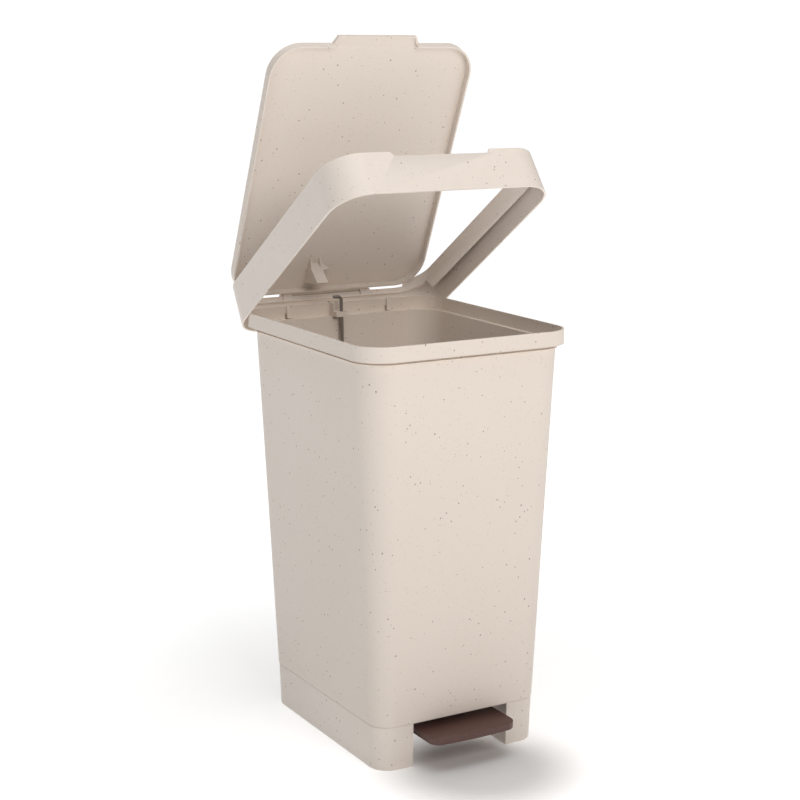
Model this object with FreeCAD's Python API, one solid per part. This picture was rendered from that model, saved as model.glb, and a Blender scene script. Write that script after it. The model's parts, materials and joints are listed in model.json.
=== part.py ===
import FreeCAD, Part
import math
import os
from FreeCAD import Vector

# Pedal trash can.  Millimetres, +Z up, front towards -Y, origin on the floor under the
# middle of the bin's foot print.  Rest pose: bag ring lifted, lid standing open, pedal up.

os.makedirs("parts", exist_ok=True)

# ---- body -------------------------------------------------------------------------
rim_height = 470.0            # floor to the rim's top
foot_half_width = 102.0       # half width of the foot print
foot_half_depth = 127.0
foot_corner = 22.0
neck_half_width = 124.0       # wall just under the rim collar
neck_front = 143.0
neck_back = 147.0
neck_corner = 36.0
wall = 2.5                    # moulded wall of the body
collar_height = 16.5
collar_out_side = 5.5         # collar stands this far outside the neck at the sides
collar_out_front = 6.0
collar_out_back = 8.0
collar_half_width = neck_half_width + collar_out_side
collar_front = neck_front + collar_out_front
collar_back = neck_back + collar_out_back
collar_corner = neck_corner - 2.0
collar_wall = 2.5
band_height = 4.0             # small step under the collar
band_out = 2.0
step_rise = 1.5               # inner step stands this far above the collar's lower edge
floor_thick = 3.0
snap_hole_half_width = 2.8    # holes that the brackets' tongues pass through
snap_fit = 0.3

# ---- plinth ------------------------------------------------------------------------
plinth_height = 49.5
plinth_wall = 3.0
deck_thick = 3.0
deck_z = plinth_height - deck_thick
floor_height = plinth_height + 10.5    # underside of the bin's floor
opening_half_width = 60.5     # pedal opening
liner_thick = 2.5             # cheeks that line the pedal opening
seam_inset = 0.5
screw_x = foot_half_width - 28.0
screw_y = foot_half_depth - 43.0
screw_radius = 1.9
screw_head_radius = 3.8
screw_head_height = 2.4
boss_radius = 5.0
foot_x = foot_half_width - 18.0
foot_y = foot_half_depth - 21.0
foot_radius = 8.0
foot_stem = 5.0
foot_stem_length = 5.5
foot_pad_thick = 3.5

# ---- bag ring (sizes in the closed position) ----------------------------------------
ring_half_width = collar_half_width + 2.2
ring_front = collar_front + 2.1
ring_back = collar_back + 16.1         # room for the hinges behind the rim
ring_corner = collar_corner + 4.0
ring_flare = 1.7              # the skirt is this much wider at its lower edge
ring_wall = 2.2
ring_drop = 25.0              # skirt reaches this far under the rim's top
ring_rise = 23.7              # and stands this far above it
ledge_drop = 13.7             # lid ledge under the ring's top edge
ledge_thick = 2.0
mouth_inset = 7.5             # bag opening inside the collar's outer face
mouth_half_width = collar_half_width - mouth_inset
mouth_front = collar_front - mouth_inset
mouth_back = ring_back - 5.1
mouth_corner = collar_corner - 5.0
tuck_depth = 13.6             # inner skirt under the ledge
tuck_wall = 2.0
tuck_end_y = collar_back - 28.0        # inner skirt stops here at its lower edge
tuck_slope = 9.0              # and this much further back at its top
notch_depth = 5.0             # opening in the front for the lid's tab
notch_slope = 4.0
notch_fit = 3.0
ring_axis_y = collar_back + 6.0
ring_axis_z = rim_height - 15.2
ring_open = 34.0              # how far the ring is lifted in the rest pose
ear_radius = 5.2
ear_width = 4.0
bracket_width = 8.0
side_gap = 0.5
hinge_pin_radius = 2.0
pin_head_radius = 3.6
pin_head_thick = 1.6
pin_fit = 0.05

# ---- lid -----------------------------------------------------------------------------
lid_gap = 1.1                 # between lid edge and ring
lid_thick = 10.0              # over the edge skirt
lid_plate = 2.5
lid_skirt = 2.2
lid_corner = ring_corner - 2.0
lid_axis_y = ring_back - 1.6
lid_axis_z = rim_height + ring_rise - 2.7
lid_back = lid_axis_y - 3.2
lid_open = 32.45              # lid against the ring in the rest pose
barrel_radius = 4.3
barrel_half_length = 45.6
knuckle_length = 12.0
lid_pin_depth = 16.0          # lid pins reach this far into the barrel
tab_half_width = 55.0
tab_reach = 9.4
tab_thick = 4.5
tab_slope = 6.0
notch_half_width = tab_half_width + notch_fit
bracket_x = barrel_half_length + knuckle_length + 2 * side_gap + ear_width + bracket_width / 2 + 0.4
lid_pad_x = ring_half_width - 41.7
lid_pad_half_width = 9.0

# ---- rod and striker --------------------------------------------------------------------
rod_radius = 2.0
rod_x = -3.0
rod_off_foot = 9.2            # rod axis from the back wall's inner face, at the floor
rod_off_neck = 5.0            # and at the neck
rod_top = rim_height + 8.5
rod_bend = 5.0
hook_tip_x = rod_x - 10.5
slide_fit = 0.1
bush_radius = 3.4
bush_flange = 4.6
striker_right = rod_x - 3.5
striker_split = hook_tip_x - 1.3
striker_left = striker_split - 11.2
striker_drop = 9.6            # striker pad's face under the lid's hinge axis

# ---- pedal ------------------------------------------------------------------------------
pedal_half_width = opening_half_width - 7.0
pedal_front = foot_half_depth + 34.0
pedal_back = foot_half_depth - 23.0
pedal_top = plinth_height - 8.3
pedal_thick = 8.6
pedal_corner = 13.0
deck_cut_back = pedal_back - 9.0       # deck is open from the front to here
plate_half_width = pedal_half_width - 13.5
plate_setback = 11.0          # lever's plate ends this far behind the pedal's front
plate_thick = 4.0
plate_fit = 0.05
pivot_y = -20.0
pivot_z = 24.0
axle_radius = 2.5
hub_radius = 6.5
hub_half_length = 30.0
cheek_thick = 4.0
axle_half_length = hub_half_length + side_gap + cheek_thick + 7.5
clip_radius = 5.0
clip_thick = 1.4
lever_thick = 5.6
lever_half_width = 24.0
lever_shoulder = 19.0         # wide plate narrows this far behind the pedal
tail_y = foot_half_depth - 4.2
tail_angle = 4.46             # tail slopes down from the pivot, degrees
tail_half_width = 12.0
tail_start_y = pivot_y + 60.0
bead_radius = 5.0
bead_gap = 0.35
bumper_gap = 0.3
nut_radius = 4.0

X = Vector(1, 0, 0)
Y = Vector(0, 1, 0)
Z = Vector(0, 0, 1)
ring_axis = Vector(0, ring_axis_y, ring_axis_z)
lid_axis = Vector(0, lid_axis_y, lid_axis_z)
opens = Vector(-1, 0, 0)      # turning about this axis lifts the front edge


# ---- helpers -----------------------------------------------------------------------------
def outline(half_width, front, back, corner, z):
    """Closed rounded rectangle from y = -front to y = back."""
    r = corner
    s = r * math.sqrt(0.5)
    corners = [(half_width - r, back - r, 1, 1), (-half_width + r, back - r, -1, 1),
               (-half_width + r, -front + r, -1, -1), (half_width - r, -front + r, 1, -1)]
    arcs = []
    for x, y, sx, sy in corners:
        beside = Vector(x + sx * r, y, z)
        above = Vector(x, y + sy * r, z)
        middle = Vector(x + sx * s, y + sy * s, z)
        arcs.append((beside, middle, above) if sx == sy else (above, middle, beside))
    edges = []
    for i, (start, middle, end) in enumerate(arcs):
        edges.append(Part.Arc(start, middle, end).toShape())
        edges.append(Part.LineSegment(end, arcs[(i + 1) % 4][0]).toShape())
    return Part.Wire(edges)


def tapered(low, high):
    """Solid between two outlines given as (half_width, front, back, corner, z)."""
    return Part.makeLoft([outline(*low), outline(*high)], True, True)


def straight(section, z0, z1):
    """Upright solid on one outline."""
    return tapered(section + (z0,), section + (z1,))


def grown(section, d):
    """The same section moved outwards by d."""
    half_width, front, back, corner = section
    return (half_width + d, front + d, back + d, corner + d)


def between(low, z_low, high, z_high, z):
    """Section at height z on the straight taper between two sections."""
    t = (z - z_low) / (z_high - z_low)
    return tuple(a + (b - a) * t for a, b in zip(low, high))


def box(x0, x1, y0, y1, z0, z1):
    return Part.makeBox(x1 - x0, y1 - y0, z1 - z0, Vector(x0, y0, z0))


def side_plate(points, x0, x1):
    """Prism across X from a (y, z) outline."""
    corners = [Vector(x0, y, z) for y, z in points]
    face = Part.Face(Part.makePolygon(corners + [corners[0]]))
    return face.extrude(X * (x1 - x0))


def plan_plate(points, z0, z1):
    """Prism up Z from an (x, y) outline."""
    corners = [Vector(x, y, z0) for x, y in points]
    face = Part.Face(Part.makePolygon(corners + [corners[0]]))
    return face.extrude(Z * (z1 - z0))


def roller(radius, x0, x1, y, z):
    """Cylinder across X."""
    return Part.makeCylinder(radius, x1 - x0, Vector(x0, y, z), X)


def post(radius, x, y, z0, z1):
    """Upright cylinder."""
    return Part.makeCylinder(radius, z1 - z0, Vector(x, y, z0), Z)


def joined(first, *others):
    shape = first
    for other in others:
        shape = shape.fuse(other)
    return shape.removeSplitter()


def without(shape, *tools):
    for tool in tools:
        shape = shape.cut(tool)
    return shape.removeSplitter()


def with_ring(shape):
    """Carries a shape from the closed position to the lifted ring."""
    shape.rotate(ring_axis, opens, ring_open)
    return shape


def with_lid(shape):
    """Carries a shape from the closed position to the open lid."""
    shape.rotate(lid_axis, opens, lid_open)
    return with_ring(shape)


# ---- shared sections ---------------------------------------------------------------------
foot_section = (foot_half_width, foot_half_depth, foot_half_depth, foot_corner)
neck_section = (neck_half_width, neck_front, neck_back, neck_corner)
collar_section = (collar_half_width, collar_front, collar_back, collar_corner)
collar_bottom = rim_height - collar_height


def body_section(z):
    """Outer section of the tapered wall at height z."""
    return between(foot_section, 0.0, neck_section, collar_bottom, z)


ring_top_z = rim_height + ring_rise
ring_low_z = rim_height - ring_drop
ring_top_section = (ring_half_width, ring_front, ring_back, ring_corner)
ring_low_section = grown(ring_top_section, ring_flare)


def ring_section(z):
    """Outer section of the ring's skirt at height z, ring closed."""
    return between(ring_low_section, ring_low_z, ring_top_section, ring_top_z, z)


lid_section = (ring_half_width - ring_wall - lid_gap, ring_front - ring_wall - lid_gap, lid_back, lid_corner)
ledge_z = ring_top_z - ledge_drop
lid_under = ring_top_z - lid_plate

# the rod runs up close to the back wall and leans with it
rod_foot_y = foot_half_depth - wall - rod_off_foot
rod_lean = (neck_back - wall - rod_off_neck - rod_foot_y) / collar_bottom
rod_dir = Vector(0, rod_lean, 1).normalize()


def rod_y(z):
    return rod_foot_y + rod_lean * z


def rod_bore(radius, z0, z1):
    """Cylinder along the rod's axis."""
    start = Vector(rod_x, rod_y(z0), z0)
    end = Vector(rod_x, rod_y(z1), z1)
    return Part.makeCylinder(radius, (end - start).Length, start, rod_dir)


# ---- fixed pieces --------------------------------------------------------------------------
def make_bin_body():
    """Tapered bucket with a wider rim collar, a raised floor and screw bosses."""
    band_z = collar_bottom - band_height
    step_z = collar_bottom + step_rise
    inner_neck = grown(body_section(step_z), -wall)
    outer = tapered(body_section(plinth_height) + (plinth_height,), neck_section + (collar_bottom,))
    outer = joined(outer, straight(grown(neck_section, band_out), band_z, collar_bottom))
    outer = joined(outer, straight(collar_section, collar_bottom, rim_height))
    floor_top = floor_height + floor_thick
    hollow = tapered(grown(body_section(floor_top), -wall) + (floor_top,),
                     inner_neck + (step_z,))
    mouth = straight(grown(collar_section, -collar_wall), step_z, rim_height + 1)
    under = tapered(grown(body_section(plinth_height - 1), -wall) + (plinth_height - 1,),
                    grown(body_section(floor_height), -wall) + (floor_height,))
    body = without(outer, hollow, mouth, under)
    for sx in (-1, 1):
        for sy in (-1, 1):
            body = joined(body, post(boss_radius, sx * screw_x, sy * screw_y, plinth_height, floor_height))
    for sx in (-1, 1):
        for sy in (-1, 1):
            body = without(body, post(screw_radius + pin_fit, sx * screw_x, sy * screw_y,
                                      plinth_height - 1, floor_height))
    bush_hole = post(bush_radius + pin_fit, rod_x, rod_y(floor_height), floor_height - 1, floor_top + 1)
    body = without(body, bush_hole)
    for sx in (-1, 1):
        body = without(body, box(sx * bracket_x - snap_hole_half_width, sx * bracket_x + snap_hole_half_width,
                                 collar_back - collar_wall - 1, collar_back + 1,
                                 collar_bottom + 0.2, collar_bottom + 8.0))
    return body


def make_base_plinth():
    """Skirt with a deck, pedal opening, axle cheeks and foot sockets."""
    top = grown(body_section(plinth_height), -seam_inset)
    low = body_section(0.0)
    outer = tapered(low + (0.0,), top + (plinth_height,))
    hollow = tapered(grown(low, -plinth_wall) + (-1.0,),
                     grown(body_section(deck_z), -plinth_wall) + (deck_z,))
    plinth = without(outer, hollow)
    opening = box(-opening_half_width, opening_half_width, -foot_half_depth - 20, -deck_cut_back,
                  -1.0, plinth_height + 1)
    plinth = without(plinth, opening)
    tail_room = tail_half_width + 8.0
    plinth = without(plinth, box(rod_x - tail_room, rod_x + tail_room, tail_start_y + 16.0,
                                 foot_half_depth - plinth_wall - 1.0, deck_z - 1, plinth_height + 1))
    for sx in (-1, 1):
        x0 = hub_half_length + side_gap
        x1 = x0 + cheek_thick
        cheek = side_plate([(pivot_y - 18, deck_z + 1), (pivot_y - 7, pivot_z - 8),
                            (pivot_y + 7, pivot_z - 8), (pivot_y + 18, deck_z + 1)], sx * x0, sx * x1)
        plinth = joined(plinth, cheek)
        liner = box(min(sx * opening_half_width, sx * (opening_half_width + liner_thick)),
                    max(sx * opening_half_width, sx * (opening_half_width + liner_thick)),
                    -foot_half_depth + 1.5, -deck_cut_back, 0.0, plinth_height - 1)
        plinth = joined(plinth, liner)
        for sy in (-1, 1):
            tube = post(foot_radius, sx * foot_x, sy * foot_y, foot_pad_thick, deck_z + 1)
            plinth = joined(plinth, tube)
    for sx in (-1, 1):
        for sy in (-1, 1):
            plinth = without(plinth, post(foot_stem + pin_fit, sx * foot_x, sy * foot_y,
                                          0, foot_pad_thick + foot_stem_length + 0.5))
            plinth = without(plinth, post(screw_radius + 0.2, sx * screw_x, sy * screw_y,
                                          deck_z - 1, plinth_height + 1))
    reach = axle_half_length + 8.0
    plinth = without(plinth, roller(axle_radius + pin_fit, -reach, reach, pivot_y, pivot_z))
    return plinth


def make_foot(sx, sy):
    """Soft foot plugged into the plinth's corner socket."""
    pad = post(foot_radius, sx * foot_x, sy * foot_y, 0, foot_pad_thick)
    pad = pad.makeChamfer(0.8, [e for e in pad.Edges if abs(e.BoundBox.ZMax) < 0.01 and len(e.Vertexes) == 1])
    stem = post(foot_stem, sx * foot_x, sy * foot_y, foot_pad_thick, foot_pad_thick + foot_stem_length)
    return joined(pad, stem)


def make_base_screws():
    """Four pan-head screws that hold the plinth under the body."""
    screws = []
    for sx in (-1, 1):
        for sy in (-1, 1):
            x, y = sx * screw_x, sy * screw_y
            head = post(screw_head_radius, x, y, deck_z - screw_head_height, deck_z)
            shank = post(screw_radius, x, y, deck_z, floor_height - 1.5)
            slot = joined(box(x - 2.2, x + 2.2, y - 0.5, y + 0.5, deck_z - 3, deck_z - 1.2),
                          box(x - 0.5, x + 0.5, y - 2.2, y + 2.2, deck_z - 3, deck_z - 1.2))
            screws.append(without(joined(head, shank), slot))
    return Part.makeCompound(screws)


def make_hinge_bracket(sx):
    """Snap bracket behind the rim: knuckle outside, hook through the wall inside."""
    x0 = sx * bracket_x - bracket_width / 2
    x1 = sx * bracket_x + bracket_width / 2
    arm = box(x0, x1, collar_back, ring_axis_y, ring_axis_z - 3.5, ring_axis_z + 5.0)
    plate = box(x0, x1, collar_back, collar_back + 2.4, ring_axis_z - 3.5, rim_height - 2.0)
    knuckle = roller(ear_radius - 0.2, x0, x1, ring_axis_y, ring_axis_z)
    inside = collar_back - collar_wall
    t0 = sx * bracket_x - snap_hole_half_width + snap_fit
    t1 = sx * bracket_x + snap_hole_half_width - snap_fit
    tongue = box(t0, t1, inside - 3.0, collar_back + 1, collar_bottom + 2.6, collar_bottom + 6.6)
    hook = side_plate([(inside - 3.2, collar_bottom + 2.6), (inside, collar_bottom + 2.6),
                       (inside, rim_height + 1.0), (inside - 1.2, rim_height + 1.0),
                       (inside - 3.2, rim_height - 5.0)], t0, t1)
    bracket = joined(arm, plate, knuckle, tongue, hook)
    return without(bracket, roller(hinge_pin_radius + pin_fit, x0 - 1, x1 + 1, ring_axis_y, ring_axis_z))


def make_rod_guide_clip():
    """Clip over the back rim with a loop that steers the lift rod."""
    inside = collar_back - collar_wall
    x0, x1 = rod_x - 9.0, rod_x + 5.5
    plate = box(x0, x1, inside - 2.0, inside, collar_bottom + step_rise, rim_height + 2.0)
    over = box(x0, x1, inside - 2.0, collar_back + 2.0, rim_height, rim_height + 2.0)
    outside = box(x0, x1, collar_back, collar_back + 2.0, rim_height - 7.0, rim_height + 2.0)
    loop_z = collar_bottom + step_rise
    loop = box(x0, x1, rod_y(loop_z) - 4.6, inside - 2.0 + 0.5, loop_z, loop_z + 6.0)
    rib = box(x0, x0 + 2.0, rod_y(loop_z) + 3.0, inside - 1.5, loop_z + 5.0, rim_height)
    clip = joined(plate, over, outside, loop, rib)
    return without(clip, rod_bore(rod_radius + slide_fit, loop_z - 5, rim_height + 10))


def make_rod_floor_bush():
    """Flanged bush where the rod passes the bin's floor."""
    y = rod_y(floor_height)
    top = floor_height + floor_thick
    bush = joined(post(bush_radius, rod_x, y, floor_height - 2.0, top),
                  post(bush_flange, rod_x, y, top, top + 1.6))
    return without(bush, rod_bore(rod_radius + slide_fit, floor_height - 10, top + 10))


def make_lever_bumper():
    """Soft stop under the deck for the released pedal."""
    y = -deck_cut_back + 18.0
    return joined(post(5.0, 0, y, lever_top_z(y - 5.0) + bumper_gap, deck_z),
                  post(7.0, 0, y, deck_z - 2.0, deck_z))


# ---- ring ---------------------------------------------------------------------------------------
def make_bag_ring():
    """Frame with an outer skirt, a lid ledge, an inner tuck skirt and hinge ears."""
    outer = tapered(ring_low_section + (ring_low_z,), ring_top_section + (ring_top_z,))
    ledge_low = ledge_z - ledge_thick
    lower = tapered(grown(ring_section(ring_low_z - 1), -ring_wall) + (ring_low_z - 1,),
                    grown(ring_section(ledge_low), -ring_wall) + (ledge_low,))
    upper = tapered(grown(ring_section(ledge_z), -ring_wall) + (ledge_z,),
                    grown(ring_section(ring_top_z + 1), -ring_wall) + (ring_top_z + 1,))
    mouth_section = (mouth_half_width, mouth_front, mouth_back, mouth_corner)
    mouth = straight(mouth_section, ledge_low - 1, ledge_z + 1)
    ring = without(outer, lower, upper, mouth)
    tuck_low = ledge_low - tuck_depth
    tuck = straight(grown(mouth_section, tuck_wall), tuck_low, ledge_z)
    tuck = without(tuck, straight(mouth_section, tuck_low - 1, ledge_z + 1))
    behind = side_plate([(tuck_end_y, tuck_low - 1), (tuck_end_y + tuck_slope, ledge_z - 0.5),
                         (tuck_end_y + 80, ledge_z - 0.5), (tuck_end_y + 80, tuck_low - 1)], -150, 150)
    behind = behind.fuse(box(-150, 150, tuck_end_y + tuck_slope, 250, ledge_low, ledge_z + 1))
    ring = joined(ring, without(tuck, behind))
    floor_z = ring_top_z - notch_depth
    notch = Part.makePolygon([Vector(-notch_half_width, -ring_front - 9, floor_z),
                              Vector(-notch_half_width - notch_slope, -ring_front - 9, ring_top_z + 1),
                              Vector(notch_half_width + notch_slope, -ring_front - 9, ring_top_z + 1),
                              Vector(notch_half_width, -ring_front - 9, floor_z),
                              Vector(-notch_half_width, -ring_front - 9, floor_z)])
    ring = without(ring, Part.Face(notch).extrude(Y * 25))
    rear = mouth_back - 22.0
    slot_top = lid_axis_z - 2.0
    rear_half = ring_half_width - 24.0
    ring = without(ring, box(-rear_half, rear_half, rear, ring_back + 30, slot_top, ring_top_z + 2))
    cradle = lid_axis_z - barrel_radius - side_gap
    half = barrel_half_length + side_gap
    ring = without(ring, box(-half, half, mouth_back + 0.5, ring_back + 30, cradle, ring_top_z + 2))
    for sx in (-1, 1):
        inner = sx * half
        end = sx * (half + knuckle_length)
        x0, x1 = min(inner, end), max(inner, end)
        knuckle = roller(barrel_radius, x0, x1, lid_axis_y, lid_axis_z)
        web = box(x0, x1, mouth_back + 1.0, lid_axis_y + 1.8, ledge_z - 1, lid_axis_z)
        ring = joined(ring, knuckle, web)
        ring = without(ring, roller(hinge_pin_radius + pin_fit, x0 - 1, x1 + 1, lid_axis_y, lid_axis_z))
        for side in (-1, 1):
            near = sx * bracket_x + side * (bracket_width / 2 + side_gap)
            far = near + side * ear_width
            a, b = min(near, far), max(near, far)
            ear = joined(roller(ear_radius, a, b, ring_axis_y, ring_axis_z),
                         box(a, b, ring_axis_y, ring_back - ring_wall + 1.2, ring_axis_z - ear_radius,
                             ring_axis_z + ear_radius))
            ring = joined(ring, ear)
        ring = without(ring, roller(hinge_pin_radius + pin_fit, sx * bracket_x - 12, sx * bracket_x + 12,
                                    ring_axis_y, ring_axis_z))
    return with_ring(ring)


def make_ring_hinge_pin(sx):
    """Headed pin through the ring's ears and the bracket."""
    reach = bracket_width / 2 + side_gap + ear_width
    pin = roller(hinge_pin_radius, sx * bracket_x - reach, sx * bracket_x + reach, ring_axis_y, ring_axis_z)
    inner = sx * (bracket_x + reach)
    outer = inner + sx * pin_head_thick
    head = roller(pin_head_radius, min(inner, outer), max(inner, outer), ring_axis_y, ring_axis_z)
    return joined(pin, head)


def make_lid_hinge_pin(sx):
    """Pin joining the lid's barrel to the ring's knuckle."""
    inner = sx * (barrel_half_length - lid_pin_depth)
    outer = sx * (barrel_half_length + side_gap + knuckle_length)
    return with_ring(roller(hinge_pin_radius, min(inner, outer), max(inner, outer), lid_axis_y, lid_axis_z))


# ---- lid -----------------------------------------------------------------------------------------
def make_lid_panel():
    """Flat lid with an edge skirt, a finger tab and the hinge barrel."""
    low = ring_top_z - lid_thick
    front = lid_section[1]
    lid = straight(lid_section, low, ring_top_z)
    lid = without(lid, straight(grown(lid_section, -lid_skirt), low - 1, lid_under))
    tab = plan_plate([(-tab_half_width, -front + 3), (-tab_half_width + tab_slope, -front - tab_reach),
                      (tab_half_width - tab_slope, -front - tab_reach), (tab_half_width, -front + 3)],
                     ring_top_z - tab_thick, ring_top_z)
    lid = joined(lid, tab)
    inner = tab_half_width - lid_skirt
    lid = without(lid, plan_plate([(-inner - 4, -front + lid_skirt + 4), (-inner, -front),
                                   (-inner + tab_slope - 1, -front - tab_reach + lid_skirt),
                                   (inner - tab_slope + 1, -front - tab_reach + lid_skirt),
                                   (inner, -front), (inner + 4, -front + lid_skirt + 4)],
                                  low - 1, lid_under))
    barrel = roller(barrel_radius, -barrel_half_length, barrel_half_length, lid_axis_y, lid_axis_z)
    bridge = box(-barrel_half_length, barrel_half_length, lid_back - 1.0, lid_axis_y,
                 lid_under - 1.2, ring_top_z)
    lid = joined(lid, barrel, bridge)
    for sx in (-1, 1):
        inner = sx * barrel_half_length
        outer = sx * (barrel_half_length + knuckle_length + 2 * side_gap)
        lid = without(lid, roller(barrel_radius + side_gap, min(inner, outer), max(inner, outer),
                                  lid_axis_y, lid_axis_z))
        inner = sx * (barrel_half_length - lid_pin_depth - side_gap)
        outer = sx * (barrel_half_length + 1)
        lid = without(lid, roller(hinge_pin_radius + pin_fit, min(inner, outer), max(inner, outer),
                                  lid_axis_y, lid_axis_z))
    return with_lid(lid)


def make_lid_striker():
    """Wedge under the lid with the low pad that the rod's hook pushes."""
    y, z = lid_axis_y, lid_under
    wedge = side_plate([(y - 39.5, z), (y - 28.5, z - 29.0), (y - 24.5, z - 26.0), (y - 14.0, z - 2.0),
                        (y - 14.0, z)], striker_left, striker_split)
    face_z = lid_axis_z - striker_drop
    pad = side_plate([(y - 36.0, z), (y - 36.0, face_z - 1.9), (y - 28.0, face_z - 0.3), (y - 24.0, face_z),
                      (y - 20.0, face_z), (y - 16.0, z)], striker_split, striker_right)
    ribs = [side_plate([(y - 46.0, z), (y - 46.0, z - 2.5), (y - 39.0, z - 7.0), (y - 30.0, z - 4.0),
                        (y - 30.0, z)], x0, x0 + 1.8) for x0 in (striker_left, striker_split - 1.8)]
    return with_lid(joined(wedge, pad, *ribs))


def make_lid_pad(sx):
    """Soft pad on the ledge that the closed lid rests on."""
    low = ring_top_z - lid_thick
    x = sx * lid_pad_x
    return with_ring(box(x - lid_pad_half_width, x + lid_pad_half_width,
                         -mouth_front - 6.0, -mouth_front - 1.5, ledge_z, low - 0.3))


# ---- rod -------------------------------------------------------------------------------------------
def make_lift_rod():
    """Steel wire with a bent hook on top; runs down to the lever's tail."""
    low_z = pivot_z - math.tan(math.radians(tail_angle)) * (rod_y(pivot_z) - pivot_y) - 7.0
    reach = (rod_top - low_z) / rod_dir.z
    b = rod_bend
    s = b * math.sqrt(0.5)
    path = Part.Wire([Part.LineSegment(Vector(0, 0, 0), Vector(0, 0, reach - b)).toShape(),
                      Part.Arc(Vector(0, 0, reach - b), Vector(-b + s, 0, reach - b + s),
                               Vector(-b, 0, reach)).toShape(),
                      Part.LineSegment(Vector(-b, 0, reach), Vector(hook_tip_x - rod_x, 0, reach)).toShape()])
    ring = Part.Wire([Part.makeCircle(rod_radius, Vector(0, 0, 0), Z)])
    rod = path.makePipeShell([ring], True, True)
    rod.rotate(Vector(0, 0, 0), opens, math.degrees(math.atan(rod_lean)))
    rod.translate(Vector(rod_x, rod_y(low_z), low_z))
    return rod


def tail_line(y):
    """Height of the tail's centre plane."""
    return pivot_z - math.tan(math.radians(tail_angle)) * (y - pivot_y)


def make_rod_bead():
    """Bead on the rod that the lever's tail lifts."""
    a = math.radians(tail_angle)
    rise = lever_thick / 2 + bead_radius + bead_gap
    run = rod_foot_y - pivot_y
    z = (rise + pivot_z * math.cos(a) - math.sin(a) * run) / (math.cos(a) + math.sin(a) * rod_lean)
    ball = Part.makeSphere(bead_radius, Vector(rod_x, rod_y(z), z))
    cap = Part.makeCylinder(3.4, 5.5, Vector(rod_x, rod_y(z), z) + rod_dir * 1.0, rod_dir)
    return without(joined(ball, cap), rod_bore(rod_radius, z - 20, z + 20))


def make_rod_nut():
    """Push-on nut that keeps the lever on the rod's lower end."""
    z = tail_line(rod_y(12)) - lever_thick / 2 - 3.1
    top = Vector(rod_x, rod_y(z), z)
    nut = Part.makeCylinder(nut_radius, 1.6, top - rod_dir * 1.6, rod_dir)
    return without(nut, rod_bore(rod_radius, z - 20, z + 20))


# ---- pedal -------------------------------------------------------------------------------------------
def lever_top_z(y):
    """Top of the lever's front arm."""
    plate_top = pedal_top - (pedal_thick - plate_thick) / 2
    y0, y1 = -pedal_back + 2.0, pivot_y
    z1 = pivot_z + lever_thick / 2 + 0.4
    t = (y - y0) / (y1 - y0)
    return plate_top + (z1 - plate_top) * t


def make_pedal_lever():
    """Rocker: plate in the pedal, hub on the axle, slotted tail under the rod."""
    plate_top = pedal_top - (pedal_thick - plate_thick) / 2
    plate_low = plate_top - plate_thick
    half = lever_thick / 2
    tip = -pedal_front + plate_setback
    side = side_plate([(tip, plate_top), (-pedal_back + 2, plate_top), (pivot_y, lever_top_z(pivot_y)),
                       (pivot_y + 4, tail_line(pivot_y + 4) + half), (tail_y, tail_line(tail_y) + half),
                       (tail_y, tail_line(tail_y) - half), (pivot_y, pivot_z - half),
                       (-pedal_back + 4, plate_low), (tip, plate_low)], -60, 60)
    w, a, t = plate_half_width, lever_half_width, tail_half_width
    shoulder_y = -pedal_back + lever_shoulder
    plan = plan_plate([(-w, tip), (w, tip), (w, -pedal_back), (a, shoulder_y), (a, pivot_y + 10),
                       (t, tail_start_y), (t, tail_y), (-t, tail_y), (-t, tail_start_y),
                       (-a, pivot_y + 10), (-a, shoulder_y), (-w, -pedal_back)], -20, 80)
    lever = side.common(plan)
    lever = joined(lever, roller(hub_radius, -hub_half_length, hub_half_length, pivot_y, pivot_z))
    slot_w = rod_radius + 0.5
    y0 = rod_y(12) - slot_w - 0.6
    slot = box(rod_x - slot_w, rod_x + slot_w, y0, y0 + 2 * slot_w + 3.4, -20, 60)
    reach = hub_half_length + 5.0
    return without(lever, slot, roller(axle_radius + pin_fit, -reach, reach, pivot_y, pivot_z))


def make_pedal_pad():
    """Foot plate pushed over the lever's front end."""
    low = pedal_top - pedal_thick
    x, r = pedal_half_width, pedal_corner
    s = r * (1 - math.sqrt(0.5))
    front, back = -pedal_front, -pedal_back
    edges = [Part.LineSegment(Vector(-x, back, low), Vector(-x, front + r, low)).toShape(),
             Part.Arc(Vector(-x, front + r, low), Vector(-x + s, front + s, low),
                      Vector(-x + r, front, low)).toShape(),
             Part.Arc(Vector(-x + r, front, low), Vector(0, front - 1.5, low),
                      Vector(x - r, front, low)).toShape(),
             Part.Arc(Vector(x - r, front, low), Vector(x - s, front + s, low),
                      Vector(x, front + r, low)).toShape(),
             Part.LineSegment(Vector(x, front + r, low), Vector(x, back, low)).toShape(),
             Part.LineSegment(Vector(x, back, low), Vector(-x, back, low)).toShape()]
    pad = Part.Face(Part.Wire(edges)).extrude(Z * pedal_thick)
    rims = [e for e in pad.Edges if e.BoundBox.ZMin > pedal_top - 0.01 and e.BoundBox.YMin < back - 1]
    pad = pad.makeFillet(1.4, rims)
    plate_top = pedal_top - (pedal_thick - plate_thick) / 2
    w = plate_half_width + plate_fit
    pocket = box(-w, w, front + plate_setback - plate_fit, back + 1,
                 plate_top - plate_thick - plate_fit, plate_top + plate_fit)
    return without(pad, pocket)


def make_pedal_axle():
    """Steel axle through cheeks and hub."""
    return roller(axle_radius, -axle_half_length, axle_half_length, pivot_y, pivot_z)


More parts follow.
